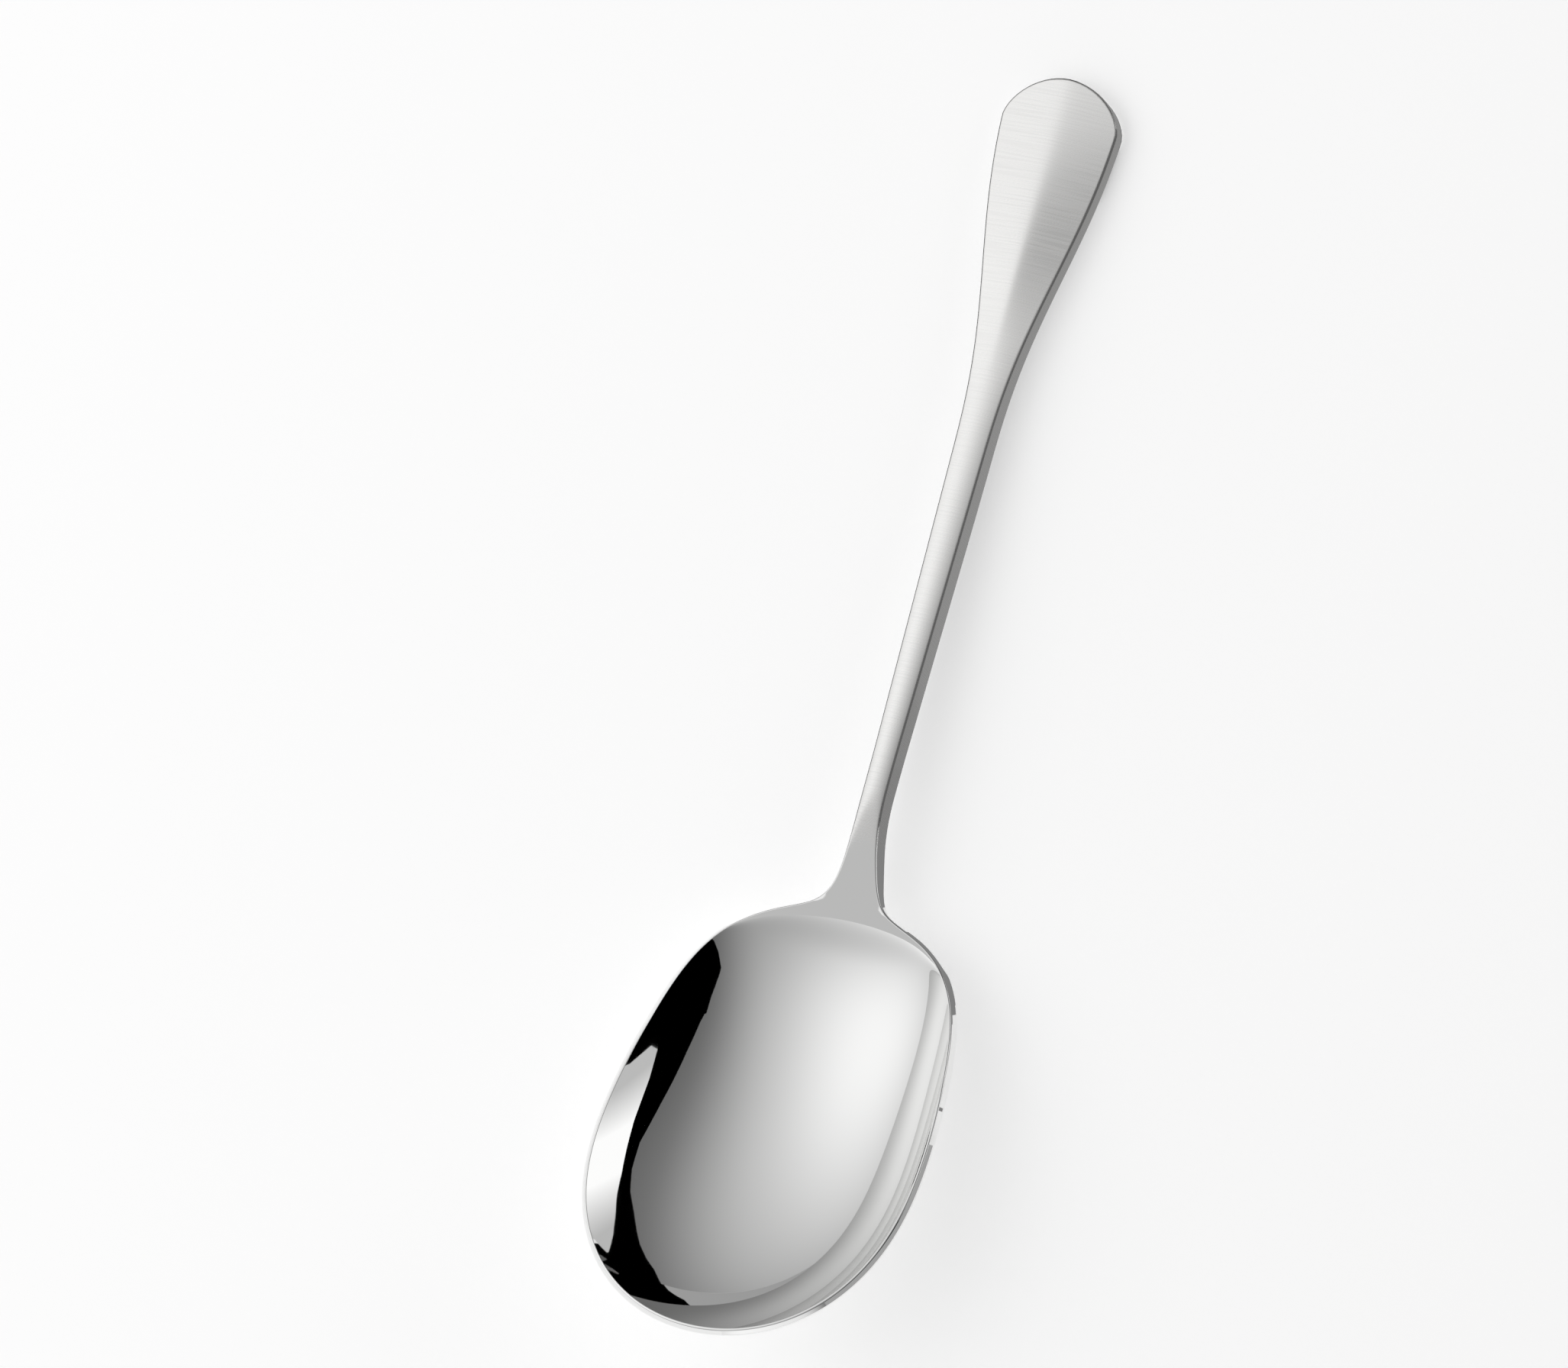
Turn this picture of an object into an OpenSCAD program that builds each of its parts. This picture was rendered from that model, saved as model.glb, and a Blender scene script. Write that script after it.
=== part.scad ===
/* [Overall] */
// Length along the spoon, from the tip of the bowl to the end of the handle
spoon_len = 240; // [200:1:280]

/* [Bowl] */
// Width across the rim at its widest
bowl_w = 66.5; // [56:0.5:76]
// Length of the bowl, from its tip to where the shoulders meet the neck
bowl_len = 84; // [76:1:92]
// Distance from the tip to the widest place
widest_at = 36.5; // [30:0.5:40]
// Distance from the tip to the deepest place
deepest_at = 44; // [38:0.5:48]
// Depth of the hollow below the rim
bowl_depth = 15.5; // [12:0.5:20]
// Thickness of the pressed sheet
sheet_t = 1.4; // [1:0.1:2]
// Rounding of the rim's edges
rim_r = 0.35; // [0.2:0.05:0.45]
// How square the outline is at the tip
tip_square_share = 0.06; // [0:0.01:0.4]
// How square the outline is at the shoulders
shoulder_square_share = 0.6; // [0.3:0.01:0.7]
// How softly the shoulders run into the neck
shoulder_soft_share = 0.075; // [0.05:0.005:0.12]
// Share of the hollow's profile that is a plain parabola; the rest makes its walls steeper
hollow_round_share = 0.78; // [0.4:0.01:0.9]
// How softly the hollow rises into the neck
hollow_soft_share = 0.12; // [0.1:0.01:0.5]

/* [Neck] */
// Length over which the shoulders narrow to the shank and the neck lifts
neck_len = 24; // [20:1:30]
// Height that the neck lifts the handle above the rim, apart from its slope
neck_lift = 3.7; // [2:0.1:7]
// Distance from the shoulders to the welded joint
joint_gap = 14; // [13:0.5:16]
// Width of the weld's groove at the surface
groove_w = 2; // [1.6:0.1:2.4]
// Size of the joint's flat faces as a share of the neck's section
root_share = 0.5; // [0.3:0.01:0.7]

/* [Handle] */
// Angle between the handle and the rim
handle_angle = 11.7; // [9:0.1:14]
// Width of the shank at its narrowest
shank_w = 5; // [4:0.1:7]
// Width of the shank where it starts to flare
taper_w = 6.9; // [6:0.1:9]
// Width of the flared end
flare_w = 25; // [20:0.5:30]
// Length over which the handle flares
flare_len = 71; // [60:1:80]
// Length of the rounded end
end_len = 8.5; // [6:0.5:12]
// Thickness of the shank at its edges
shank_t = 4; // [3:0.1:5]
// Thickness of the flared end at its edges
flare_t = 3; // [2:0.1:4]
// Height of the shank's crown above its edges
crown_h = 0.7; // [0.3:0.1:1.2]
// Height of the flared end's ridge above its edges
ridge_h = 1.1; // [0.4:0.1:1.6]
// Rounding of the handle's edges
edge_r = 0.6; // [0.3:0.05:0.9]

/* [Hidden] */

// Exponents of the steep part of the hollow and of the rounded end
wall_power = 6;
end_power = 1.6;
// Softness of the flared end's ridge, as a share of its half width
ridge_soft_share = 0.16;
// Where the hollow starts to soften, between the widest place and the shoulders
soften_share = 0.8;
// Where the sections start to lie closer, between the same two places
dense_share = 0.4;
// Where the crown and the thick section start, as shares of the neck's length
crown_start_share = -0.15;
crown_full_share = 0.6;
thick_start_share = -0.25;
thick_full_share = 0.5;
// Where the flared end thins and its ridge forms, as shares of the flare's length
thin_start_share = -0.3;
thin_full_share = 0.65;
ridge_start_share = 0.1;
ridge_full_share = 0.6;
// Share of the neck's length over which its slope eases in; its lift starts half as far before the shoulders
ease_share = 0.4;

// Step for slopes measured across the surface
probe = rim_r / 20;
// Number of points across the spoon, and in each rounded edge
across_n = 22;
arc_n = 2;
// Number of stations in each stretch of the spoon
tip_n = 14;
belly_n = 9;
shoulder_n = 21;
stub_n = 3;
neck_n = 6;
shank_n = 12;
flare_n = 16;
end_n = 11;
// Halvings in the search for the angle at which the spoon rests
search_n = 30;

neck_end = bowl_len + neck_len;
joint_at = bowl_len + joint_gap;
flare_start = spoon_len - flare_len;
end_start = spoon_len - end_len;
ease_len = neck_len * ease_share;
soften_at = widest_at + (bowl_len - widest_at) * soften_share;
dense_at = widest_at + (bowl_len - widest_at) * dense_share;
crown_start = bowl_len + neck_len * crown_start_share;

// Eases from 0 at a to 1 at b
function blend(a, b, s) = let (t = min(max((s - a) / (b - a), 0), 1)) t * t * t * (t * (t * 6 - 15) + 10);

// Rises at slope 1 after easing in between a and b
function ramp(a, b, s) = let (t = max((s - a) / (b - a), 0))
    (b - a) * (t < 1 ? t * t * t - t * t * t * t / 2 : t - 1 / 2);

// The positive part of q with its corner rounded by e
function soft(q, e) = (q + sqrt(q * q + e * e)) / 2;

function mix(a, b, m) = a * (1 - m) + b * m;

// Place along the bowl as a share: -1 at the tip, 0 at the widest, 1 at the shoulders
function stretch(s, middle) = 2 * middle * (bowl_len - middle) + (bowl_len - 2 * middle) * (s - middle);
function along(s) = (s - widest_at) / stretch(s, widest_at) * bowl_len;

// Factor that moves the deepest place away from the widest one and leaves the rim where it is
function deepening(s) = deepest_at * (bowl_len - deepest_at) / (widest_at * (bowl_len - widest_at))
    * pow(stretch(s, widest_at) / stretch(s, deepest_at), 2);

function square_share(s) = mix(tip_square_share, shoulder_square_share, blend(0, bowl_len, s));

// Half width of the bowl's own outline, which fades out along the neck
function bowl_half(s) = let (
    v2 = along(s) * along(s),
    left = s < widest_at ? max(1 - v2, 0) : soft(1 - v2, shoulder_soft_share * blend(widest_at, bowl_len, s)),
    fade = 1 - blend(bowl_len, neck_end, s)
) bowl_w / 2 * sqrt(left * fade / (1 - square_share(s) * min(v2, 1)));

// Share of the slow taper between the narrowest shank and the flare
function taper(s) = ramp(neck_end, neck_end + ease_len, s) / ramp(neck_end, neck_end + ease_len, flare_start);

// Half width of the handle, without its rounded end
function bar_half(s) = let (
    plain = mix(shank_w, taper_w, taper(s)) / 2,
    last = mix(shank_w, taper_w, taper(spoon_len)) / 2
) plain + (flare_w / 2 - last) * blend(flare_start, spoon_len, s);

// Half width of the top face, without and with the rounded end
function plan_half(s) = norm([bowl_half(s), bar_half(s) * blend(widest_at, bowl_len, s)]);
function half_w(s) = plan_half(s) * sqrt(1 - pow(min(max((s - end_start) / end_len, 0), 1), end_power));

// Height of the top face's edge above the rim
function edge_z(s) = tan(handle_angle) * ramp(bowl_len, bowl_len + ease_len, s)
    + neck_lift * blend(bowl_len - ease_len / 2, neck_end, s);

// Depth of the hollow as a share: 1 at its lowest, 0 at the rim
function hollow(x, s) = let (
    x2 = pow(x / bowl_w * 2, 2),
    v2 = along(s) * along(s),
    inside = 1 - x2 - v2 + square_share(s) * min(x2, 1) * min(v2, 1),
    r2 = max(1 - inside * deepening(s), 0),
    h = 1 - hollow_round_share * r2 - (1 - hollow_round_share) * pow(r2, wall_power / 2)
) soft(h, hollow_soft_share * blend(soften_at, bowl_len, s));

function hollow_z(x, s) = s > neck_end ? 0
    : -bowl_depth * (hollow(x, s) - hollow(plan_half(s), s) * blend(soften_at, bowl_len, s))
        * (1 - blend(bowl_len, neck_end, s));

// Height of the shank's crown and of the flared end's ridge above the edges
function crown_z(x, s) = s < crown_start ? 0 : let (
    u = x / plan_half(s),
    k = ridge_soft_share,
    round = 1 - u * u,
    ridge = 1 - (norm([u, k]) - k) / (norm([1, k]) - k),
    m = blend(flare_start + flare_len * ridge_start_share, flare_start + flare_len * ridge_full_share, s)
) mix(crown_h * round, ridge_h * ridge, m) * blend(crown_start, bowl_len + neck_len * crown_full_share, s);

function top_z(x, s) = edge_z(s) + hollow_z(x, s) + crown_z(x, s);

// 0 where the spoon is pressed sheet, 1 where it is solid bar
function bar_share(s) = blend(bowl_len + neck_len * thick_start_share, bowl_len + neck_len * thick_full_share, s);

function thickness(s) = mix(
    mix(sheet_t, shank_t, bar_share(s)),
    flare_t,
    blend(flare_start + flare_len * thin_start_share, flare_start + flare_len * thin_full_share, s)
);

function unit(p) = p / norm(p);

// Outward direction of the outline in plan, square to the spoon in the joint
function outward(s) = s <= 0 ? [0, -1] : s >= spoon_len ? [0, 1]
    : abs(s - joint_at) <= groove_w / 2 ? [1, 0]
    : unit([1, -(half_w(s + min(probe, spoon_len - s)) - half_w(s - min(probe, s)))
        / (min(probe, spoon_len - s) + min(probe, s))]);

// Slopes of the top face across and along the spoon
function slopes(x, s) = [
    top_z(x + probe, s) - top_z(x - probe, s),
    top_z(x, s + probe) - top_z(x, s - probe)
] / (2 * probe);

// A point of the underside, below a point of the top face
function under(p) = let (
    m = bar_share(p.y),
    t = thickness(p.y),
    g = slopes(p.x, p.y),
    n = unit([-g.x * (1 - m), -g.y * (1 - m), 1]),
    sheet = p - t * n
) [sheet.x, sheet.y, mix(sheet.z, edge_z(p.y) - t, m)];

// The closed section at s, from left to right over the top and back along the underside
function section(s) = let (
    w = half_w(s),
    v = outward(s),
    m = bar_share(s),
    r = mix(rim_r, edge_r, m),
    lean = slopes(w, s) * v * (1 - m),
    o = unit([v.x, v.y, lean]),
    inner = [max(w - r * o.x, 0), s - r * o.y],
    top = [for (i = [0:across_n]) let (x = inner.x * (2 * i / across_n - 1)) [x, inner.y, top_z(x, inner.y)]],
    low = [for (i = [0:across_n]) under(top[across_n - i])],
    a = top[across_n],
    d = low[0],
    down = unit(d - a),
    side = [
        for (i = [1:arc_n]) let (q = 90 * i / arc_n) a + r * (sin(q) * o + (1 - cos(q)) * down),
        for (i = [arc_n:-1:1]) let (q = 90 * i / arc_n) d + r * (sin(q) * o - (1 - cos(q)) * down)
    ],
    other = [for (i = [len(side) - 1:-1:0]) [-side[i].x, side[i].y, side[i].z]]
) concat(top, side, low, other);

ring_n = 2 * (across_n + 1) + 4 * arc_n;

function span(a, b, n) = [for (i = [1:n]) a + (b - a) * i / n];

bowl_stations = concat(
    [for (i = [0:tip_n]) widest_at * (1 - cos(90 * i / tip_n))],
    span(widest_at, dense_at, belly_n),
    span(dense_at, bowl_len + ease_len, shoulder_n),
    span(bowl_len + ease_len, joint_at - groove_w / 2, stub_n)
);
handle_stations = concat(
    [joint_at + groove_w / 2],
    span(joint_at + groove_w / 2, neck_end, neck_n),
    span(neck_end, flare_start, shank_n),
    span(flare_start, end_start, flare_n),
    [for (i = [1:end_n]) end_start + end_len * sin(90 * i / end_n)]
);
bowl_rings = [for (s = bowl_stations) section(s)];
handle_rings = [for (s = handle_stations) section(s)];
joint_ring = section(joint_at);

// The joint's flat face is the neck's section, drawn in about its middle
joint_middle = (joint_ring[across_n / 2] + joint_ring[across_n + 2 * arc_n + 1 + across_n / 2]) / 2;
root_ring = [for (p = joint_ring) joint_middle + (p - joint_middle) * root_share];

// The spoon lies on its belly and on the end of its handle, tip up by this angle
function lowest(points, a) = min([for (p = points) p.z * cos(a) - p.y * sin(a)]);
function rest_angle(belly, tail, lo, hi, n) = let (a = (lo + hi) / 2)
    n == 0 ? a
    : lowest(belly, a) < lowest(tail, a) ? rest_angle(belly, tail, a, hi, n - 1)
    : rest_angle(belly, tail, lo, a, n - 1);
belly_points = [for (ring = bowl_rings) for (p = ring) if (p.y < bowl_len) p];
tail_points = [for (ring = handle_rings) for (p = ring) if (p.y > flare_start) p];
rest = rest_angle(belly_points, tail_points, 0, 45, search_n);

function turned(p) = [p.x, p.y * cos(rest) + p.z * sin(rest), p.z * cos(rest) - p.y * sin(rest)];
turned_points = [for (ring = concat(bowl_rings, handle_rings)) for (p = ring) turned(p)];
turned_y = [for (p = turned_points) p.y];
turned_z = [for (p = turned_points) p.z];
shift = [0, -(min(turned_y) + max(turned_y)) / 2, -min(turned_z)];

function placed(points) = [for (p = points) turned(p) + shift];

// Number of a ring's point. A ring at the tip or the end is one point for each height.
function spot(k, j, tipped) =
    !tipped ? k * ring_n + j
    : j <= across_n ? k * ring_n
    : j <= across_n + 2 * arc_n ? k * ring_n + j
    : j <= 2 * across_n + 2 * arc_n + 1 ? k * ring_n + across_n + 2 * arc_n + 1
    : k * ring_n + across_n + 1 + (ring_n - 1 - j);

// Two triangles for each step round a pair of rings, without those that have no area
function band(k, l, k_tipped = false, l_tipped = false) = [
    for (j = [0:ring_n - 1]) let (
        n = (j + 1) % ring_n,
        a = spot(k, j, k_tipped),
        b = spot(k, n, k_tipped),
        c = spot(l, n, l_tipped),
        d = spot(l, j, l_tipped)
    ) each [
        if (a != b && b != d && a != d) [a, d, b],
        if (b != c && c != d && b != d) [b, d, c]
    ]
];

function flipped(faces) = [for (f = faces) [f[2], f[1], f[0]]];

// A skin over rings, with an optional tipped ring at one end and a flat face at the other
module loft(rings, tip_first) {
    n = len(rings);
    hub = n * ring_n;
    last = tip_first ? n - 1 : 0;
    skin = [
        for (k = [0:n - 2]) each band(k, k + 1, tip_first && k == 0, !tip_first && k == n - 2)
    ];
    fan = [for (j = [0:ring_n - 1]) [last * ring_n + j, last * ring_n + (j + 1) % ring_n, hub]];
    points = concat([for (ring = rings) each ring], [joint_middle]);
    polyhedron(placed(points), concat(skin, tip_first ? flipped(fan) : fan));
}

// Pressed bowl with the stub of its neck, chamfered for the weld
module bowl() {
    color("gainsboro") loft(concat(bowl_rings, [root_ring]), true);
}

// Solid handle, chamfered for the weld
module handle() {
    color("silver") loft(concat([root_ring], handle_rings), false);
}

// Weld bead that fills the groove round the neck, ground flush
module neck_weld() {
    rings = [bowl_rings[len(bowl_rings) - 1], joint_ring, handle_rings[0], root_ring];
    faces = concat(band(0, 1), band(1, 2), flipped(band(0, 3)), flipped(band(3, 2)));
    color("darkgray") polyhedron(placed([for (ring = rings) each ring]), faces);
}

bowl();
neck_weld();
handle();
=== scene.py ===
"""A stainless serving spoon: a mirror-polished bowl and a finely brushed handle, joined at the neck."""
from math import cos, pi, radians, sin, sqrt, tan

import bpy
import numpy as np
from mathutils import Matrix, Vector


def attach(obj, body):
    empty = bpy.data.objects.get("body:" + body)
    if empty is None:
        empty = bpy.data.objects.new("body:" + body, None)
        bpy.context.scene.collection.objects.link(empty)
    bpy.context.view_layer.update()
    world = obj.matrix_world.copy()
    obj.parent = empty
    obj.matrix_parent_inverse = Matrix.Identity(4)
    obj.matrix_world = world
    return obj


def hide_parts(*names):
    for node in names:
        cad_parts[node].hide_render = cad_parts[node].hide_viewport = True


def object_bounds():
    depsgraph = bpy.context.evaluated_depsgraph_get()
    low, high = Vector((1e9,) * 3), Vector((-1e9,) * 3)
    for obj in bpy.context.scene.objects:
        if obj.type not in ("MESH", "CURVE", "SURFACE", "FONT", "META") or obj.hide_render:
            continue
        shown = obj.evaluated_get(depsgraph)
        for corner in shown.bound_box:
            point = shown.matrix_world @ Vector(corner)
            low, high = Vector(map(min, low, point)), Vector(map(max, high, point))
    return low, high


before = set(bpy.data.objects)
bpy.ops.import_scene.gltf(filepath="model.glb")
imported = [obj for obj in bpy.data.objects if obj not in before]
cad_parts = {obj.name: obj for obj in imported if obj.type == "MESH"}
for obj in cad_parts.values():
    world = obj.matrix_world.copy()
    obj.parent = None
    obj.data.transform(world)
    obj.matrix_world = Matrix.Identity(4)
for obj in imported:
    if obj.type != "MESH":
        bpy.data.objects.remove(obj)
cad_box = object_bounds()

# The spoon's sizes in metres, as in the part's source. Places are measured along it from the bowl's tip.
SPOON_LEN = 0.240
BOWL_W = 0.0665
BOWL_LEN = 0.084
WIDEST_AT, DEEPEST_AT = 0.0365, 0.044
BOWL_DEPTH = 0.0155
SHEET_T = 0.0014
RIM_R = 0.00035
TIP_SQUARE, SHOULDER_SQUARE, SHOULDER_SOFT = 0.06, 0.6, 0.075
HOLLOW_ROUND, HOLLOW_SOFT, WALL_POWER = 0.78, 0.12, 6
SOFTEN_AT = WIDEST_AT + 0.8 * (BOWL_LEN - WIDEST_AT)
NECK_LEN = 0.024
NECK_LIFT = 0.0037
NECK_END = BOWL_LEN + NECK_LEN
EASE_LEN = 0.4 * NECK_LEN
JOINT_AT = BOWL_LEN + 0.014
GROOVE_W = 0.002
ROOT_SHARE = 0.5
HANDLE_ANGLE = radians(11.7)
SHANK_W, TAPER_W, FLARE_W = 0.005, 0.0069, 0.025
SHANK_T, FLARE_T = 0.004, 0.003
FLARE_LEN = 0.071
FLARE_START = SPOON_LEN - FLARE_LEN
END_LEN = 0.0085
END_START = SPOON_LEN - END_LEN
END_POWER = 1.6
CROWN_H, RIDGE_H, RIDGE_SOFT = 0.0007, 0.0011, 0.16
EDGE_R = 0.0006

# Where the crown rises, the crown turns into the ridge, the sheet turns into bar, and the bar thins
CROWN_START, CROWN_FULL = BOWL_LEN - 0.15 * NECK_LEN, BOWL_LEN + 0.6 * NECK_LEN
RIDGE_START, RIDGE_FULL = FLARE_START + 0.1 * FLARE_LEN, FLARE_START + 0.6 * FLARE_LEN
BAR_START, BAR_FULL = BOWL_LEN - 0.25 * NECK_LEN, BOWL_LEN + 0.5 * NECK_LEN
THIN_START, THIN_FULL = FLARE_START - 0.3 * FLARE_LEN, FLARE_START + 0.65 * FLARE_LEN

# Step for slopes, spacing of the sections, points across one and round its edge, and their bunching there
PROBE = RIM_R / 20
BOWL_STEP, HANDLE_STEP, WELD_STEP = 0.0006, 0.0010, 0.00025
ACROSS_N, ARC_N = 72, 4
BUNCHING = 0.6
# Steps and upper limit of the search for the rest angle, and decimals by which points count as one
SEARCH_N, STEEPEST = 40, radians(45)
SAME_DIGITS = 9


def blend(a, b, s):
    """Eases from 0 at a to 1 at b."""
    t = np.clip((s - a) / (b - a), 0, 1)
    return t * t * t * (t * (t * 6 - 15) + 10)


def ramp(a, b, s):
    """Rises at slope 1 after easing in between a and b."""
    t = np.maximum((s - a) / (b - a), 0)
    return (b - a) * np.where(t < 1, t**3 - t**4 / 2, t - 1 / 2)


def soft(q, e):
    """The positive part of q with its corner rounded by e."""
    return (q + np.sqrt(q * q + e * e)) / 2


def mix(a, b, m):
    return a * (1 - m) + b * m


def unit(p):
    return p / np.linalg.norm(p, axis=-1, keepdims=True)


def stretch(s, middle):
    """Divisor that turns a place along the bowl into a share, which is 0 at the given middle."""
    return 2 * middle * (BOWL_LEN - middle) + (BOWL_LEN - 2 * middle) * (s - middle)


def along(s):
    """Place along the bowl as a share: -1 at the tip, 0 at the widest, 1 at the shoulders."""
    return (s - WIDEST_AT) / stretch(s, WIDEST_AT) * BOWL_LEN


def deepening(s):
    """Factor that moves the deepest place away from the widest one and leaves the rim where it is."""
    scale = DEEPEST_AT * (BOWL_LEN - DEEPEST_AT) / (WIDEST_AT * (BOWL_LEN - WIDEST_AT))
    return scale * (stretch(s, WIDEST_AT) / stretch(s, DEEPEST_AT)) ** 2


def square_share(s):
    return mix(TIP_SQUARE, SHOULDER_SQUARE, blend(0, BOWL_LEN, s))


def bowl_half(s):
    """Half width of the bowl's own outline, which fades out along the neck."""
    v2 = along(s) ** 2
    rounded = soft(1 - v2, SHOULDER_SOFT * blend(WIDEST_AT, BOWL_LEN, s))
    left = np.where(s < WIDEST_AT, np.maximum(1 - v2, 0), rounded)
    fade = 1 - blend(BOWL_LEN, NECK_END, s)
    return BOWL_W / 2 * np.sqrt(left * fade / (1 - square_share(s) * np.minimum(v2, 1)))


def taper(s):
    """Share of the slow taper between the narrowest shank and the flare."""
    return ramp(NECK_END, NECK_END + EASE_LEN, s) / ramp(NECK_END, NECK_END + EASE_LEN, FLARE_START)


def bar_half(s):
    """Half width of the handle, without its rounded end."""
    plain = mix(SHANK_W, TAPER_W, taper(s)) / 2
    last = mix(SHANK_W, TAPER_W, taper(SPOON_LEN)) / 2
    return plain + (FLARE_W / 2 - last) * blend(FLARE_START, SPOON_LEN, s)


def plan_half(s):
    return np.hypot(bowl_half(s), bar_half(s) * blend(WIDEST_AT, BOWL_LEN, s))


def half_w(s):
    """Half width of the top face, with the rounded end."""
    t = np.clip((s - END_START) / END_LEN, 0, 1)
    return plan_half(s) * np.sqrt(1 - t**END_POWER)


def edge_z(s):
    """Height of the top face's edge above the rim."""
    slope = tan(HANDLE_ANGLE) * ramp(BOWL_LEN, BOWL_LEN + EASE_LEN, s)
    return slope + NECK_LIFT * blend(BOWL_LEN - EASE_LEN / 2, NECK_END, s)


def hollow(x, s):
    """Depth of the hollow as a share: 1 at its lowest, 0 at the rim."""
    x2 = (x / BOWL_W * 2) ** 2
    v2 = along(s) ** 2
    inside = 1 - x2 - v2 + square_share(s) * np.minimum(x2, 1) * np.minimum(v2, 1)
    r2 = np.maximum(1 - inside * deepening(s), 0)
    h = 1 - HOLLOW_ROUND * r2 - (1 - HOLLOW_ROUND) * r2 ** (WALL_POWER / 2)
    return soft(h, HOLLOW_SOFT * blend(SOFTEN_AT, BOWL_LEN, s))


def hollow_z(x, s):
    level = hollow(plan_half(s), s) * blend(SOFTEN_AT, BOWL_LEN, s)
    z = -BOWL_DEPTH * (hollow(x, s) - level) * (1 - blend(BOWL_LEN, NECK_END, s))
    return np.where(s > NECK_END, 0, z)


def crown_z(x, s):
    """Height of the shank's crown and of the flared end's ridge above the edges."""
    u = x / np.maximum(plan_half(s), PROBE)
    ridge = 1 - (np.hypot(u, RIDGE_SOFT) - RIDGE_SOFT) / (sqrt(1 + RIDGE_SOFT**2) - RIDGE_SOFT)
    z = mix(CROWN_H * (1 - u * u), RIDGE_H * ridge, blend(RIDGE_START, RIDGE_FULL, s))
    return np.where(s < CROWN_START, 0, z * blend(CROWN_START, CROWN_FULL, s))


def top_z(x, s):
    return edge_z(s) + hollow_z(x, s) + crown_z(x, s)


def bar_share(s):
    """0 where the spoon is pressed sheet, 1 where it is solid bar."""
    return blend(BAR_START, BAR_FULL, s)


def thickness(s):
    thick = mix(SHEET_T, SHANK_T, bar_share(s))
    return mix(thick, FLARE_T, blend(THIN_START, THIN_FULL, s))


def outward(s):
    """Outward direction of the outline in plan at each section, square to the spoon in the joint."""
    back, on = np.minimum(PROBE, s), np.minimum(PROBE, SPOON_LEN - s)
    slope = (half_w(s + on) - half_w(s - back)) / (on + back)
    v = unit(np.stack([np.ones_like(s), -slope], -1))
    v[np.abs(s - JOINT_AT) <= GROOVE_W / 2 + PROBE] = (1, 0)
    v[s <= 0] = (0, -1)
    v[s >= SPOON_LEN] = (0, 1)
    return v


def slopes(x, s):
    """Slopes of the top face across and along the spoon."""
    across = top_z(x + PROBE, s) - top_z(x - PROBE, s)
    lengthwise = top_z(x, s + PROBE) - top_z(x, s - PROBE)
    return np.stack([across, lengthwise], -1) / (2 * PROBE)


def under(p):
    """Points of the underside, below points of the top face."""
    m = bar_share(p[..., 1])
    t = thickness(p[..., 1])
    g = slopes(p[..., 0], p[..., 1]) * (1 - m)[..., None]
    n = unit(np.stack([-g[..., 0], -g[..., 1], np.ones_like(m)], -1))
    sheet = p - t[..., None] * n
    sheet[..., 2] = mix(sheet[..., 2], edge_z(p[..., 1]) - t, m)
    return sheet


# The sections lie at equal steps of a distance that bunches them where the tip and the end close
TIP_STRETCH = WIDEST_AT * (pi / 2 - 1)


def place(d):
    """Place along the spoon of a section at distance d."""
    plain = d - TIP_STRETCH
    tip = WIDEST_AT * (1 - np.cos(np.minimum(d / WIDEST_AT, pi / 2)))
    end = END_START + END_LEN * np.sin(np.clip((plain - END_START) / END_LEN, 0, pi / 2))
    return np.where(d < WIDEST_AT * pi / 2, tip, np.where(plain > END_START, end, plain))


def distances(first, last, step):
    return np.linspace(first, last, int(round((last - first) / step)) + 1)


def grid_normals(p, d, u):
    """Normals of a surface given by a grid of points, taken from its slopes along d and u."""
    n = np.cross(np.gradient(p, u, axis=1), np.gradient(p, d, axis=0))
    n[0] = n[1] if np.ptp(p[0], axis=0).max() < PROBE else n[0]
    n[-1] = n[-2] if np.ptp(p[-1], axis=0).max() < PROBE else n[-1]
    return unit(n)


def edge_arcs(a, b, o, r):
    """Points and normals of an edge, rounded by r outward along o, from points a down to points b."""
    down = unit(b - a)
    rise = unit(-np.cross(np.cross(o, down), o))
    a, b, o, down, rise = (v[:, None] for v in (a, b, o, down, rise))
    r = r[:, None, None]
    q = (np.arange(1, ARC_N + 1) / ARC_N * pi / 2)[None, :, None]
    upper = a + r * (np.sin(q) * o + (1 - np.cos(q)) * down)
    lower = b + r * (np.sin(q) * o - (1 - np.cos(q)) * down)
    upper_n = unit(np.sin(q) * o + np.cos(q) * rise)
    lower_n = unit(np.sin(q) * o - np.cos(q) * rise)
    points = np.concatenate([upper, lower[:, ::-1]], 1)
    normals = np.concatenate([upper_n, lower_n[:, ::-1]], 1)
    return points, normals


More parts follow.
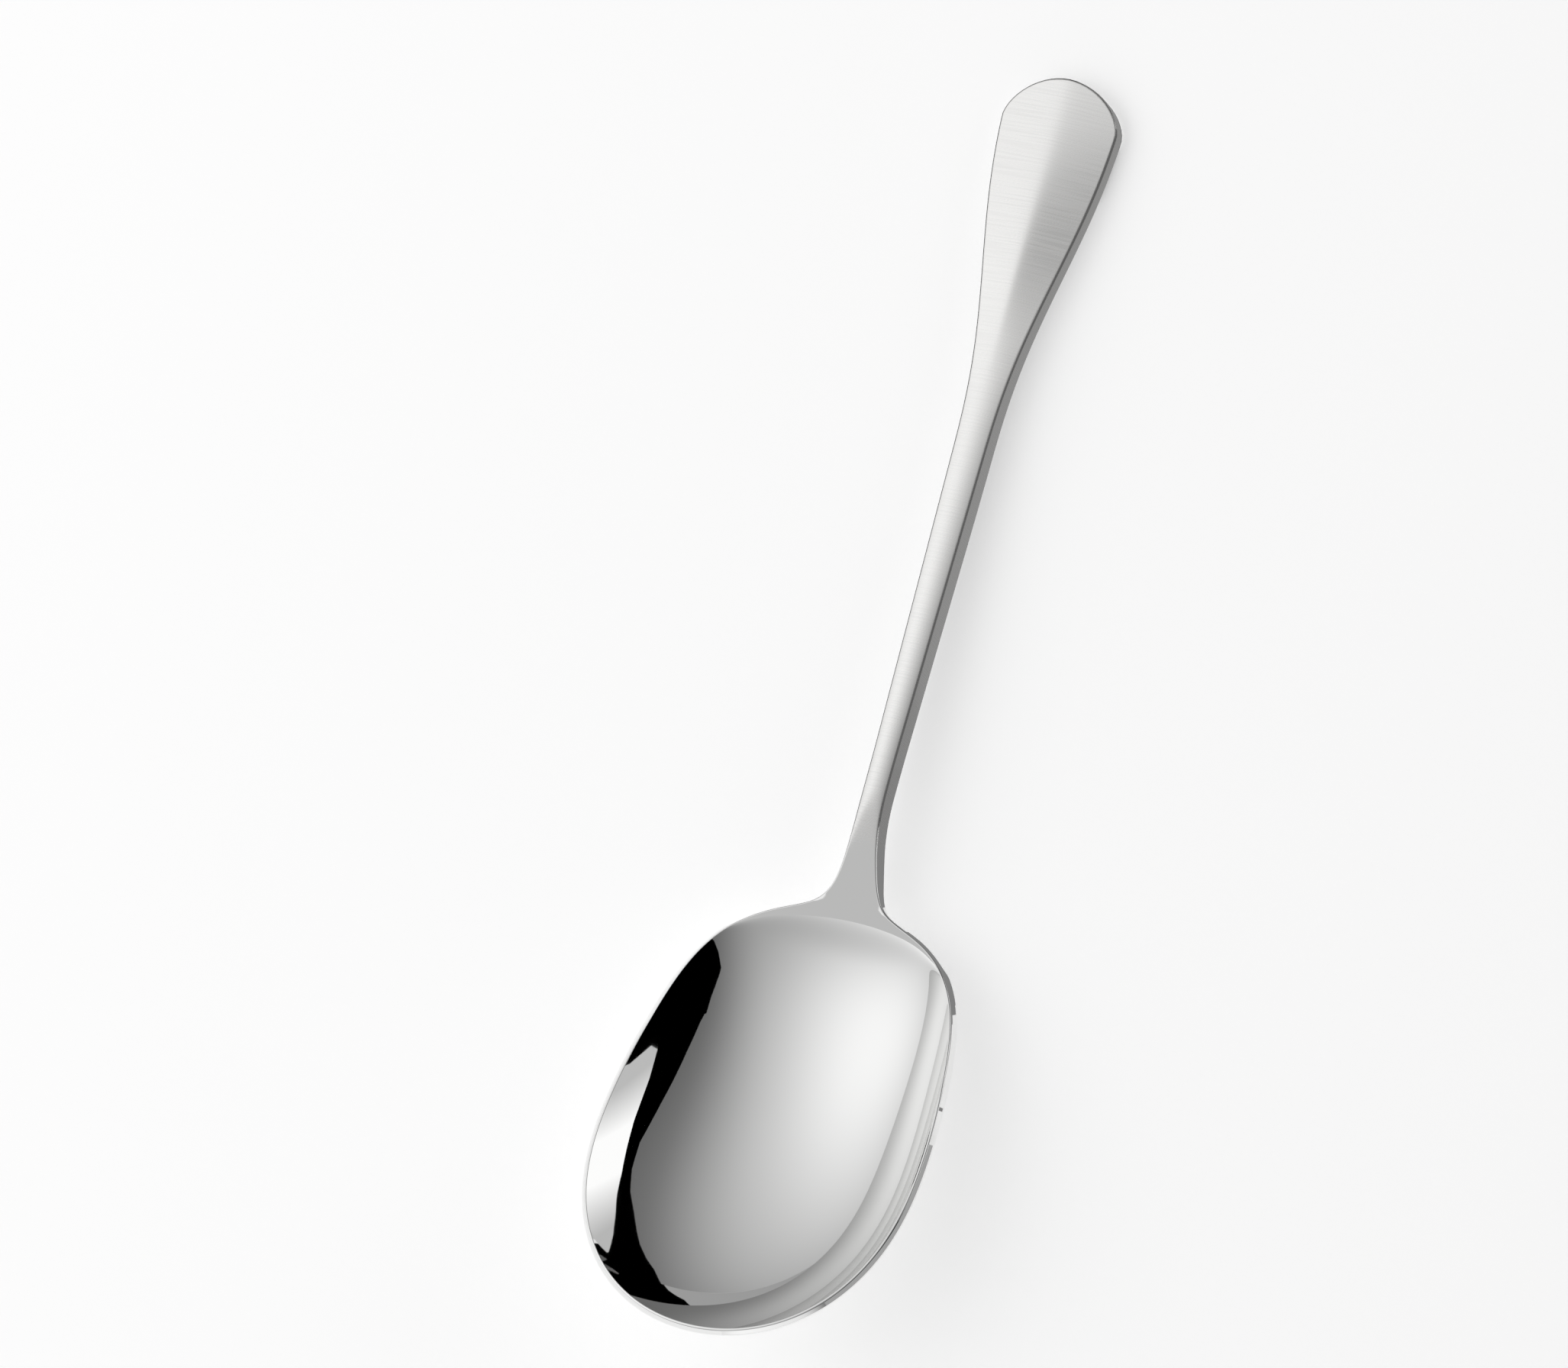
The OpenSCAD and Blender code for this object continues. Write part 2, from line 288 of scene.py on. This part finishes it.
def sections(d):
    """Points and normals of closed sections at distances d, over the top to the right and back below."""
    s = place(d)
    w, v, m = half_w(s), outward(s), bar_share(s)
    r = mix(RIM_R, EDGE_R, m)
    lean = (slopes(w, s) * v).sum(-1) * (1 - m)
    o = unit(np.stack([v[:, 0], v[:, 1], lean], -1))
    inner_x = np.maximum(w - r * o[:, 0], 0)
    inner_y = s - r * o[:, 1]
    t = np.linspace(-1, 1, ACROSS_N + 1)
    u = mix(t, np.sin(t * pi / 2), BUNCHING)
    x = inner_x[:, None] * u
    y = np.repeat(inner_y[:, None], len(u), 1)
    top = np.stack([x, y, top_z(x, y)], -1)
    low = under(top)
    top_n, low_n = grid_normals(top, d, u), -grid_normals(low, d, u)
    side, side_n = edge_arcs(top[:, -1], low[:, -1], o, r)
    other = (-1, 1, 1)
    points = np.concatenate([top, side, low[:, ::-1], side[:, ::-1] * other], 1)
    normals = np.concatenate([top_n, side_n, low_n[:, ::-1], side_n[:, ::-1] * other], 1)
    return points, normals


# The sections of each piece
joint_low = TIP_STRETCH + JOINT_AT - GROOVE_W / 2
joint_high = TIP_STRETCH + JOINT_AT + GROOVE_W / 2
handle_end = TIP_STRETCH + END_START + END_LEN * pi / 2
bowl_rings, bowl_normals = sections(distances(0, joint_low, BOWL_STEP))
weld_rings, weld_normals = sections(distances(joint_low, joint_high, WELD_STEP))
handle_rings, handle_normals = sections(distances(joint_high, handle_end, HANDLE_STEP))

# The section in the joint's middle, and the smaller root inside it where the bowl and the handle meet
joint_ring = weld_rings[len(weld_rings) // 2]
low_middle = ACROSS_N + 1 + 2 * ARC_N + ACROSS_N // 2
joint_middle = (joint_ring[ACROSS_N // 2] + joint_ring[low_middle]) / 2
root_ring = mix(joint_middle, joint_ring, ROOT_SHARE)


def lowest(p, angle):
    return (p[..., 2] * cos(angle) - p[..., 1] * sin(angle)).min()


def rest_angle():
    """Angle at which the spoon lies on its belly and on the end of its handle, tip up."""
    lo, hi = 0, STEEPEST
    for _ in range(SEARCH_N):
        angle = (lo + hi) / 2
        if lowest(bowl_rings, angle) < lowest(handle_rings, angle):
            lo = angle
        else:
            hi = angle
    return angle


TURN = np.array(Matrix.Rotation(-rest_angle(), 3, "X"))
turned = np.concatenate([bowl_rings, handle_rings]).reshape(-1, 3) @ TURN.T
SHIFT = np.array([
    0,
    (cad_box[0][1] + cad_box[1][1] - turned[:, 1].min() - turned[:, 1].max()) / 2,
    cad_box[0][2] - turned[:, 2].min(),
])


def placed(p):
    """From the spoon's own axes, level with its rim, to where it lies."""
    return np.asarray(p) @ TURN.T + SHIFT


def skin(first, second, numbers):
    """Faces between two rings of point numbers, without those that have no area."""
    faces = []
    for j in range(len(first)):
        n = (j + 1) % len(first)
        corners = [numbers[i] for i in (first[j], first[n], second[n], second[j])]
        kept = [c for i, c in enumerate(corners) if c != corners[i - 1]]
        if len(set(kept)) > 2:
            faces.append(tuple(kept))
    return faces


def merged(points):
    """For each point, the number of the first one at the same place, such as at the tip."""
    _, first, back = np.unique(points.round(SAME_DIGITS), axis=0, return_index=True, return_inverse=True)
    return first[back.ravel()]


def ring_faces(n, ring_n, caps, numbers):
    """Smooth faces between a piece's rings, and plain ones from its end rings to the root and middle."""
    rows = np.arange(n * ring_n).reshape(n, ring_n)
    root = np.arange(n * ring_n, n * ring_n + ring_n)
    middle = n * ring_n + ring_n
    smooth = [f for a, b in zip(rows[:-1], rows[1:]) for f in skin(a, b, numbers)]
    plain = []
    if "first" in caps:
        plain += skin(root, rows[0], numbers)
    if "last" in caps:
        plain += skin(rows[-1], root, numbers)
    if "flat" in caps:
        turn = 1 if "last" in caps else -1
        plain += [(int(a), int(b), middle)[::turn] for a, b in zip(root, np.roll(root, -1))]
    return smooth, plain


def skin_mesh(name, points, normals, smooth, plain):
    """Mesh of the faces and the points they use. Its UV layout, for the grain, is the spoon's plan."""
    corners = [int(i) for f in smooth + plain for i in f]
    used = sorted(set(corners))
    new = {i: k for k, i in enumerate(used)}
    faces = [tuple(new[int(i)] for i in f) for f in smooth + plain]
    mesh = bpy.data.meshes.new(name)
    mesh.from_pydata(placed(points[used]).tolist(), [], faces)
    mesh.polygons.foreach_set("use_smooth", [True] * len(smooth) + [False] * len(plain))
    uv = mesh.uv_layers.new(name="grain")
    uv.data.foreach_set("uv", (points[corners][:, :2] / SPOON_LEN).ravel())
    mesh.update()
    turned_normals = normals.reshape(-1, 3) @ TURN.T
    corner_normals = [tuple(turned_normals[i]) for f in smooth for i in f]
    corner_normals += [(0, 0, 0)] * sum(len(f) for f in plain)
    mesh.normals_split_custom_set(corner_normals)
    return mesh


def piece(name, rings, normals, caps, node, material):
    """A smooth piece from its rings, with plain faces at its welded end, in place of its CAD node."""
    points = np.concatenate([rings.reshape(-1, 3), root_ring, [joint_middle]])
    smooth, plain = ring_faces(*rings.shape[:2], caps, merged(points))
    obj = bpy.data.objects.new(name, skin_mesh(name, points, normals, smooth, plain))
    bpy.context.scene.collection.objects.link(obj)
    obj.data.materials.append(material)
    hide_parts(node)
    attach(obj, "root")


def node_tree(name):
    """A new material, its nodes, links and shader."""
    material = bpy.data.materials.new(name)
    material.use_nodes = True
    nodes = material.node_tree.nodes
    return material, nodes, material.node_tree.links, nodes["Principled BSDF"]


def split(nodes, links, vector):
    """The outputs X, Y and Z of a vector."""
    node = nodes.new("ShaderNodeSeparateXYZ")
    links.new(vector, node.inputs["Vector"])
    return node.outputs


def spread(nodes, links, value, source, target, smooth=False):
    """Maps a value from the source range to the target range, clamped."""
    node = nodes.new("ShaderNodeMapRange")
    node.interpolation_type = "SMOOTHSTEP" if smooth else "LINEAR"
    for name, number in zip(("From Min", "From Max", "To Min", "To Max"), (*source, *target)):
        node.inputs[name].default_value = number
    links.new(value, node.inputs["Value"])
    return node.outputs["Result"]


def calc(nodes, links, operation, first, second=None):
    """A Math node on one linked value, and on a number or a second linked value where one is given."""
    node = nodes.new("ShaderNodeMath")
    node.operation = operation
    links.new(first, node.inputs[0])
    if isinstance(second, (int, float)):
        node.inputs[1].default_value = second
    elif second is not None:
        links.new(second, node.inputs[1])
    return node.outputs[0]


def grain(nodes, links, layout, scale, detail):
    """Noise in the spoon's own axes, stretched by the scale."""
    mapping = nodes.new("ShaderNodeMapping")
    mapping.inputs["Scale"].default_value = scale
    links.new(layout, mapping.inputs["Vector"])
    noise = nodes.new("ShaderNodeTexNoise")
    noise.inputs["Scale"].default_value = 1
    noise.inputs["Detail"].default_value = detail
    links.new(mapping.outputs["Vector"], noise.inputs["Vector"])
    return noise.outputs["Fac"]


def bump(nodes, links, height, distance, strength, shader):
    node = nodes.new("ShaderNodeBump")
    node.inputs["Distance"].default_value = distance
    links.new(strength, node.inputs["Strength"])
    links.new(height, node.inputs["Height"])
    links.new(node.outputs["Normal"], shader.inputs["Normal"])


# Scales of the brushing, which runs across the spoon, and of the polish's faint clouds, per spoon length
BRUSH_SCALE, BRUSH_DETAIL = (14, 700, 1), 2
CLOUD_SCALE, CLOUD_DETAIL = (9, 9, 1), 3
# Range of each noise that is used, and the roughness over that range
BRUSH_RANGE, SATIN_ROUGHNESS = (0.35, 0.65), (0.23, 0.33)
CLOUD_RANGE, POLISH_ROUGHNESS = (0.3, 0.7), (0.015, 0.035)
BRUSH_DEPTH, BRUSH_STRENGTH = 0.00002, 0.25
# The bowl's polish gives way to the handle's satin between these places along the spoon
SATIN_FADE = 0.090 / SPOON_LEN, 0.099 / SPOON_LEN
POLISHED_COLOUR = (0.85, 0.85, 0.845)
SATIN_COLOUR = (0.86, 0.855, 0.845)


def steel(name, colour):
    """Stainless steel, mirror-polished in the bowl and finely brushed from the neck on."""
    material, nodes, links, shader = node_tree(name)
    shader.inputs["Base Color"].default_value = (*colour, 1)
    shader.inputs["Metallic"].default_value = 1
    layout = nodes.new("ShaderNodeUVMap")
    layout.uv_map = "grain"
    brush = grain(nodes, links, layout.outputs["UV"], BRUSH_SCALE, BRUSH_DETAIL)
    cloud = grain(nodes, links, layout.outputs["UV"], CLOUD_SCALE, CLOUD_DETAIL)
    lengthwise = split(nodes, links, layout.outputs["UV"])["Y"]
    satin_share = spread(nodes, links, lengthwise, SATIN_FADE, (0, 1), smooth=True)
    brushed = spread(nodes, links, brush, BRUSH_RANGE, SATIN_ROUGHNESS)
    polished = spread(nodes, links, cloud, CLOUD_RANGE, POLISH_ROUGHNESS)
    gap = calc(nodes, links, "SUBTRACT", brushed, polished)
    extra = calc(nodes, links, "MULTIPLY", gap, satin_share)
    links.new(calc(nodes, links, "ADD", polished, extra), shader.inputs["Roughness"])
    strength = calc(nodes, links, "MULTIPLY", satin_share, BRUSH_STRENGTH)
    bump(nodes, links, brush, BRUSH_DEPTH, strength, shader)
    return material


polished = steel("polished_steel", POLISHED_COLOUR)
satin = steel("satin_steel", SATIN_COLOUR)

piece("bowl_skin", bowl_rings, bowl_normals, ("last", "flat"), "bowl", polished)
piece("neck_weld_skin", weld_rings, weld_normals, ("first", "last"), "neck_weld", satin)
piece("handle_skin", handle_rings, handle_normals, ("first", "flat"), "handle", satin)

# The camera looks from the right and above. Its angles are measured from the spoon's own axes.
PHOTO_W, PHOTO_H = 2054, 1792
VIEW_SIDE, VIEW_TIP, VIEW_ROLL = radians(28), radians(18.4), radians(21.2)
PIXELS_PER_METRE = 7100
# A point in the spoon's own axes, and the pixel at which the photograph has it
AIM = (0, 0.120, 0)
AIM_X, AIM_Y = 1199, 968
CAMERA_FAR = 6.0
SENSOR = 36


def add_camera():
    back = np.array([sin(VIEW_SIDE), -sin(VIEW_TIP) * cos(VIEW_SIDE), cos(VIEW_TIP) * cos(VIEW_SIDE)])
    length = unit(np.array([0, 1, 0]) - back[1] * back)
    width = np.cross(length, back)
    right = (width * cos(VIEW_ROLL) + length * sin(VIEW_ROLL)) @ TURN.T
    up = (length * cos(VIEW_ROLL) - width * sin(VIEW_ROLL)) @ TURN.T
    back = back @ TURN.T
    place_x = (PHOTO_W / 2 - AIM_X) / PIXELS_PER_METRE
    place_y = (AIM_Y - PHOTO_H / 2) / PIXELS_PER_METRE
    at = placed(AIM) + CAMERA_FAR * back + place_x * right + place_y * up
    data = bpy.data.cameras.new("camera")
    data.sensor_width = SENSOR
    data.lens = SENSOR * CAMERA_FAR * PIXELS_PER_METRE / PHOTO_W
    camera = bpy.data.objects.new("camera", data)
    camera.matrix_world = Matrix((
        (right[0], up[0], back[0], at[0]),
        (right[1], up[1], back[1], at[1]),
        (right[2], up[2], back[2], at[2]),
        (0, 0, 0, 1),
    ))
    bpy.context.scene.collection.objects.link(camera)
    bpy.context.scene.camera = camera


add_camera()

# The stage: places on it are as seen from the bowl, in degrees to the right of the camera and above it
STAGE_AT = (0, -0.07, 0.02)
DOME_R, WINDOW_R, FLAG_R = 2.0, 1.9, 1.8
DOME_RINGS, ROUND_N = 48, 96
# Degrees between the rows of a curved card, and faces in a row
CARD_ROW, CARD_N = 2, 8


def towards(x, y):
    """Direction in the camera's axes at an angle from the camera, x to its right and y above it."""
    off = np.hypot(x, y)
    share = sin(radians(off)) / off if off else 0
    return x * share, y * share, cos(radians(off))


def stage_piece(name, points, faces, material, seen=True):
    mesh = bpy.data.meshes.new(name)
    mesh.from_pydata(points, [], faces)
    obj = bpy.data.objects.new(name, mesh)
    bpy.context.scene.collection.objects.link(obj)
    mesh.materials.append(material)
    obj.visible_camera = seen
    return obj


def facing_camera(obj):
    """Puts a stage piece round the bowl with its own axes along the camera's right, up and back."""
    axes = bpy.context.scene.camera.matrix_world.to_3x3()
    obj.matrix_world = Matrix.Translation(STAGE_AT) @ axes.to_4x4()


def grid_faces(rows, columns, closed=False):
    """Faces of a grid of points, whose last column is joined to its first where it is closed."""
    faces = []
    for i in range(rows - 1):
        near, far = i * columns, (i + 1) * columns
        for j in range(columns if closed else columns - 1):
            n = (j + 1) % columns
            faces.append((near + j, near + n, far + n, far + j))
    return faces


def light_tree(name):
    """A new material that only shines, its nodes, links and emission."""
    material, nodes, links, shader = node_tree(name)
    nodes.remove(shader)
    emission = nodes.new("ShaderNodeEmission")
    links.new(emission.outputs["Emission"], nodes["Material Output"].inputs["Surface"])
    material.cycles.emission_sampling = "NONE"
    return material, nodes, links, emission


def own_place(nodes):
    """Place in an object's own axes."""
    return nodes.new("ShaderNodeTexCoord").outputs["Object"]


def glow(name, strength):
    material, nodes, links, emission = light_tree(name)
    emission.inputs["Strength"].default_value = strength
    return material


# The tent's light: grey on the left, dark on the right, bright at its foot, and a large lamp on the left
TENT_SIDES, TENT_SIDES_LIGHT = (-0.4, 0.3), (0.2, 0.03)
TENT_FOOT, TENT_FOOT_LIGHT = (-0.95, -0.8), (0.8, 0)
LAMP_AT, LAMP_SIZE = (-75, 18), (1.2, 0.87, 0.9)
LAMP_LIGHT, LAMP_EDGE = 0.88, 1.13


def lamp_light(nodes, links, place_on):
    """Light of the lamp, which falls off softly from its middle."""
    lamp = nodes.new("ShaderNodeMapping")
    lamp.vector_type = "TEXTURE"
    lamp.inputs["Location"].default_value = towards(*LAMP_AT)
    lamp.inputs["Scale"].default_value = LAMP_SIZE
    links.new(place_on, lamp.inputs["Vector"])
    far = nodes.new("ShaderNodeVectorMath")
    far.operation = "DOT_PRODUCT"
    links.new(lamp.outputs["Vector"], far.inputs[0])
    links.new(lamp.outputs["Vector"], far.inputs[1])
    steep = calc(nodes, links, "POWER", far.outputs["Value"], LAMP_EDGE)
    less = calc(nodes, links, "MULTIPLY", steep, -1)
    return calc(nodes, links, "MULTIPLY", calc(nodes, links, "EXPONENT", less), LAMP_LIGHT)


def tent_material():
    material, nodes, links, emission = light_tree("tent")
    place_on = own_place(nodes)
    axes = split(nodes, links, place_on)
    side = spread(nodes, links, axes["X"], TENT_SIDES, TENT_SIDES_LIGHT, smooth=True)
    foot = spread(nodes, links, axes["Y"], TENT_FOOT, TENT_FOOT_LIGHT, smooth=True)
    both = calc(nodes, links, "ADD", side, lamp_light(nodes, links, place_on))
    links.new(calc(nodes, links, "ADD", both, foot), emission.inputs["Strength"])
    return material


def add_tent():
    """A round tent about the bowl, of radius 1 in its own axes."""
    points = []
    for i in range(DOME_RINGS + 1):
        for j in range(ROUND_N):
            a, b = pi * i / DOME_RINGS, 2 * pi * j / ROUND_N
            points.append((sin(a) * cos(b), sin(a) * sin(b), cos(a)))
    faces = grid_faces(DOME_RINGS + 1, ROUND_N, closed=True)
    tent = stage_piece("tent", points, faces, tent_material(), seen=False)
    facing_camera(tent)
    tent.scale = (DOME_R, DOME_R, DOME_R)


# Heights between which the window's light changes, near its top and its foot, and the light at them
WINDOW_TOP, WINDOW_TOP_LIGHT = (0.6 * WINDOW_R, 0.85 * WINDOW_R), (1.15, 0.55)
WINDOW_FOOT, WINDOW_FOOT_LIGHT = (0.1 * WINDOW_R, 0.33 * WINDOW_R), (0.5, 1)


def window_material():
    """White, greyer towards its upper and lower ends."""
    material, nodes, links, emission = light_tree("window")
    height = split(nodes, links, own_place(nodes))["Y"]
    upper = spread(nodes, links, height, WINDOW_TOP, WINDOW_TOP_LIGHT)
    lower = spread(nodes, links, height, WINDOW_FOOT, WINDOW_FOOT_LIGHT)
    links.new(calc(nodes, links, "MULTIPLY", upper, lower), emission.inputs["Strength"])
    return material


def soft_painted_reflection(name, strength, middle, fade):
    """A painted reflection that shines on its front only and fades out between two distances from its
    middle.
    """
    material, nodes, links, emission = light_tree(name)
    emission.inputs["Strength"].default_value = strength
    far = nodes.new("ShaderNodeVectorMath")
    far.operation = "DISTANCE"
    far.inputs[1].default_value = middle
    links.new(own_place(nodes), far.inputs[0])
    share = spread(nodes, links, far.outputs["Value"], fade, (1, 0), smooth=True)
    behind = nodes.new("ShaderNodeNewGeometry").outputs["Backfacing"]
    front = calc(nodes, links, "LESS_THAN", behind, 0.5)
    mixed = nodes.new("ShaderNodeMixShader")
    links.new(calc(nodes, links, "MULTIPLY", share, front), mixed.inputs["Fac"])
    links.new(nodes.new("ShaderNodeBsdfTransparent").outputs["BSDF"], mixed.inputs[1])
    links.new(emission.outputs["Emission"], mixed.inputs[2])
    links.new(mixed.outputs["Shader"], nodes["Material Output"].inputs["Surface"])
    return material


def add_card(name, rows, radius, material):
    """A curved card inside the tent. Each row is its height and its left and right edges, in degrees."""
    levels, lefts, rights = zip(*rows)
    heights = np.arange(levels[0], levels[-1] + 1, CARD_ROW)
    points = []
    for y, a, b in zip(heights, np.interp(heights, levels, lefts), np.interp(heights, levels, rights)):
        points += [[radius * c for c in towards(a + (b - a) * i / CARD_N, y)] for i in range(CARD_N + 1)]
    faces = grid_faces(len(heights), CARD_N + 1)
    facing_camera(stage_piece(name, points, faces, material, seen=False))


def add_painted_reflection(name, corners, material):
    """A flat sheet of painted reflection near the spoon, with its corners in metres: it only shows in the
    metal and casts no shadow.
    """
    card = stage_piece(name, corners, [tuple(range(len(corners)))], material, seen=False)
    # Hidden from matte surfaces and from shadows, so that it is a painted reflection seen only in the
    # metal
    card.visible_diffuse = False
    card.visible_shadow = False


def add_upright(name, first, second, height, material):
    """A sheet of painted reflection that stands on two feet and only shows in the metal."""
    tops = [(x, y, z + height) for x, y, z in (second, first)]
    add_painted_reflection(name, [first, second, *tops], material)


def add_floor_shade(name, corners, height, strength):
    """A sheet of painted shade that lies on the floor and only shows in the metal."""
    add_painted_reflection(name, [(x, y, height) for x, y in corners], glow(name, strength))


# The curved cards on the right, by rows of height, left edge and right edge: a white window behind a
# black flag, a black strip below the window, and a grey card below them and to their right
WINDOW_ROWS = (2, 34, 53), (60, 28, 53), (68, 28, 46), (76, 28, 43), (82, 28, 36)
FLAG_ROWS = (
    (-22, 9, 14), (-18, 7, 20), (-12, 6, 30), (-10, 7, 30), (-4, 11, 30), (0, 14, 31), (2, 15, 42),
    (4, 17, 38), (10, 21, 37), (20, 26, 37), (30, 30, 36), (40, 30, 35), (50, 28, 35), (60, 24, 34),
    (70, 21, 34), (76, 19, 35), (80, 17, 36), (84, 15, 60), (90, 11, 80), (100, 7, 80), (110, 3, 80),
)
STRIP_ROWS = (-12, 8, 56), (2, 14, 56)
LOW_ROWS = (-60, 20, 90), (-18, 34, 90), (-14, 58, 90), (80, 58, 90)
LOW_LIGHT = 0.4

# Painted shade on the floor, seen only in the metal: a black sheet under the handle and beyond it, a grey
# one on its left that meets it at a seam, and a little higher two dark grey ones, along the handle's
# right side and right of the neck
SHADE_Z, UPPER_SHADE_Z = 0.0005, 0.001
SEAM = (-0.05, -0.02), (-0.073, 0.064), (-0.114, 0.3), (-0.42, 1.9)
BLACK_SHADE = (*SEAM, (0.6, 1.9), (0.06, 0.1), (0.05, -0.02))
LEFT_SHADE = (*SEAM, (-1.9, 0.9), (-0.1, -0.03))
SIDE_SHADE = (0, -0.01), (0.035, -0.01), (0.05, 0.13), (0, 0.13)
NECK_SHADE = (0, -0.01), (0, -0.03), (0.02, -0.045), (0.09, -0.05), (0.1, -0.01), (0.3, 0.17), (0.1, 0.2)
LEFT_SHADE_LIGHT, SIDE_SHADE_LIGHT, NECK_SHADE_LIGHT = 0.38, 0.3, 0.25

# Feet of the dark sheets of painted shade, seen only in the metal, that stand close to the right side of
# the shank and of the flared end
NECK_FOOT, SHANK_FOOT, FLARE_FOOT = (0.0065, -0.02, 0.008), (0.0075, 0.05, 0.005), (0.0165, 0.12, 0.001)
UPRIGHT_SHADE_H, UPRIGHT_SHADE_LIGHT = 0.0115, 0.12

# Grey sheets of painted reflection, seen only in the metal: one over the neck, which faces the handle,
# and one over the flared end
NECK_REFLECTION = (0.03, -0.045, 0.013), (-0.05, -0.045, 0.013), (-0.15, -0.008, 0.12), (0.03, -0.008, 0.12)
NECK_REFLECTION_LIGHT, NECK_REFLECTION_MIDDLE, NECK_REFLECTION_FADE = 0.57, (-0.025, -0.028, 0.05), (0.05, 0.095)
TOP_REFLECTION = (-0.05, 0.0675, 0.035), (-0.05, 0.1425, 0.095), (0.06, 0.1425, 0.095), (0.06, 0.0675, 0.035)
TOP_REFLECTION_LIGHT, TOP_REFLECTION_MIDDLE, TOP_REFLECTION_FADE = 0.42, (0.004, 0.105, 0.065), (0.015, 0.045)

FLOOR_R = 2.0
FLOOR_GREY, FLOOR_ROUGHNESS, FLOOR_LIGHT = 0.9, 0.9, 0.46
WORLD_GREY = 0.95


def floor_material():
    """Pale floor. To the camera and in reflections it shines a little itself, so that it looks white."""
    material, nodes, links, shader = node_tree("floor")
    shader.inputs["Base Color"].default_value = (FLOOR_GREY, FLOOR_GREY, FLOOR_GREY, 1)
    shader.inputs["Roughness"].default_value = FLOOR_ROUGHNESS
    shader.inputs["Specular IOR Level"].default_value = 0
    shader.inputs["Emission Color"].default_value = (1, 1, 1, 1)
    ray = nodes.new("ShaderNodeLightPath")
    seen = calc(nodes, links, "ADD", ray.outputs["Is Camera Ray"], ray.outputs["Is Glossy Ray"])
    seen = calc(nodes, links, "ADD", seen, ray.outputs["Is Transmission Ray"])
    links.new(calc(nodes, links, "MULTIPLY", seen, FLOOR_LIGHT), shader.inputs["Emission Strength"])
    return material


def add_floor():
    angles = [2 * pi * i / ROUND_N for i in range(ROUND_N)]
    rim = [(FLOOR_R * cos(a), FLOOR_R * sin(a), 0) for a in angles]
    stage_piece("floor", rim, [tuple(range(ROUND_N))], floor_material())


def add_world():
    """Plain white beyond the floor."""
    world = bpy.data.worlds.new("studio")
    bpy.context.scene.world = world
    world.use_nodes = True
    background = world.node_tree.nodes["Background"]
    background.inputs["Color"].default_value = (WORLD_GREY, WORLD_GREY, WORLD_GREY, 1)
    background.inputs["Strength"].default_value = 1


add_tent()
add_card("window", WINDOW_ROWS, WINDOW_R, window_material())
black = glow("flag", 0)
add_card("flag", FLAG_ROWS, FLAG_R, black)
add_card("strip", STRIP_ROWS, FLAG_R, black)
add_card("low_card", LOW_ROWS, FLAG_R, glow("low_card", LOW_LIGHT))
# Painted shade in the metal: dark sheets on the floor that nothing but the metal sees
add_floor_shade("black_painted_shade", BLACK_SHADE, SHADE_Z, 0)
add_floor_shade("left_painted_shade", LEFT_SHADE, SHADE_Z, LEFT_SHADE_LIGHT)
add_floor_shade("side_painted_shade", SIDE_SHADE, UPPER_SHADE_Z, SIDE_SHADE_LIGHT)
add_floor_shade("neck_painted_shade", NECK_SHADE, UPPER_SHADE_Z, NECK_SHADE_LIGHT)
# Painted shade in the metal along the handle's right side
dark = glow("upright_painted_shade", UPRIGHT_SHADE_LIGHT)
add_upright("shank_painted_shade", NECK_FOOT, SHANK_FOOT, UPRIGHT_SHADE_H, dark)
add_upright("flare_painted_shade", SHANK_FOOT, FLARE_FOOT, UPRIGHT_SHADE_H, dark)
# Painted grey reflections in the metal over the neck and the flared end
neck_glow = soft_painted_reflection("neck_painted_reflection", NECK_REFLECTION_LIGHT, NECK_REFLECTION_MIDDLE, NECK_REFLECTION_FADE)
add_painted_reflection("neck_painted_reflection", NECK_REFLECTION, neck_glow)
top_glow = soft_painted_reflection("top_painted_reflection", TOP_REFLECTION_LIGHT, TOP_REFLECTION_MIDDLE, TOP_REFLECTION_FADE)
add_painted_reflection("top_painted_reflection", TOP_REFLECTION, top_glow)
add_floor()
add_world()

bpy.context.scene.view_settings.view_transform = "Standard"
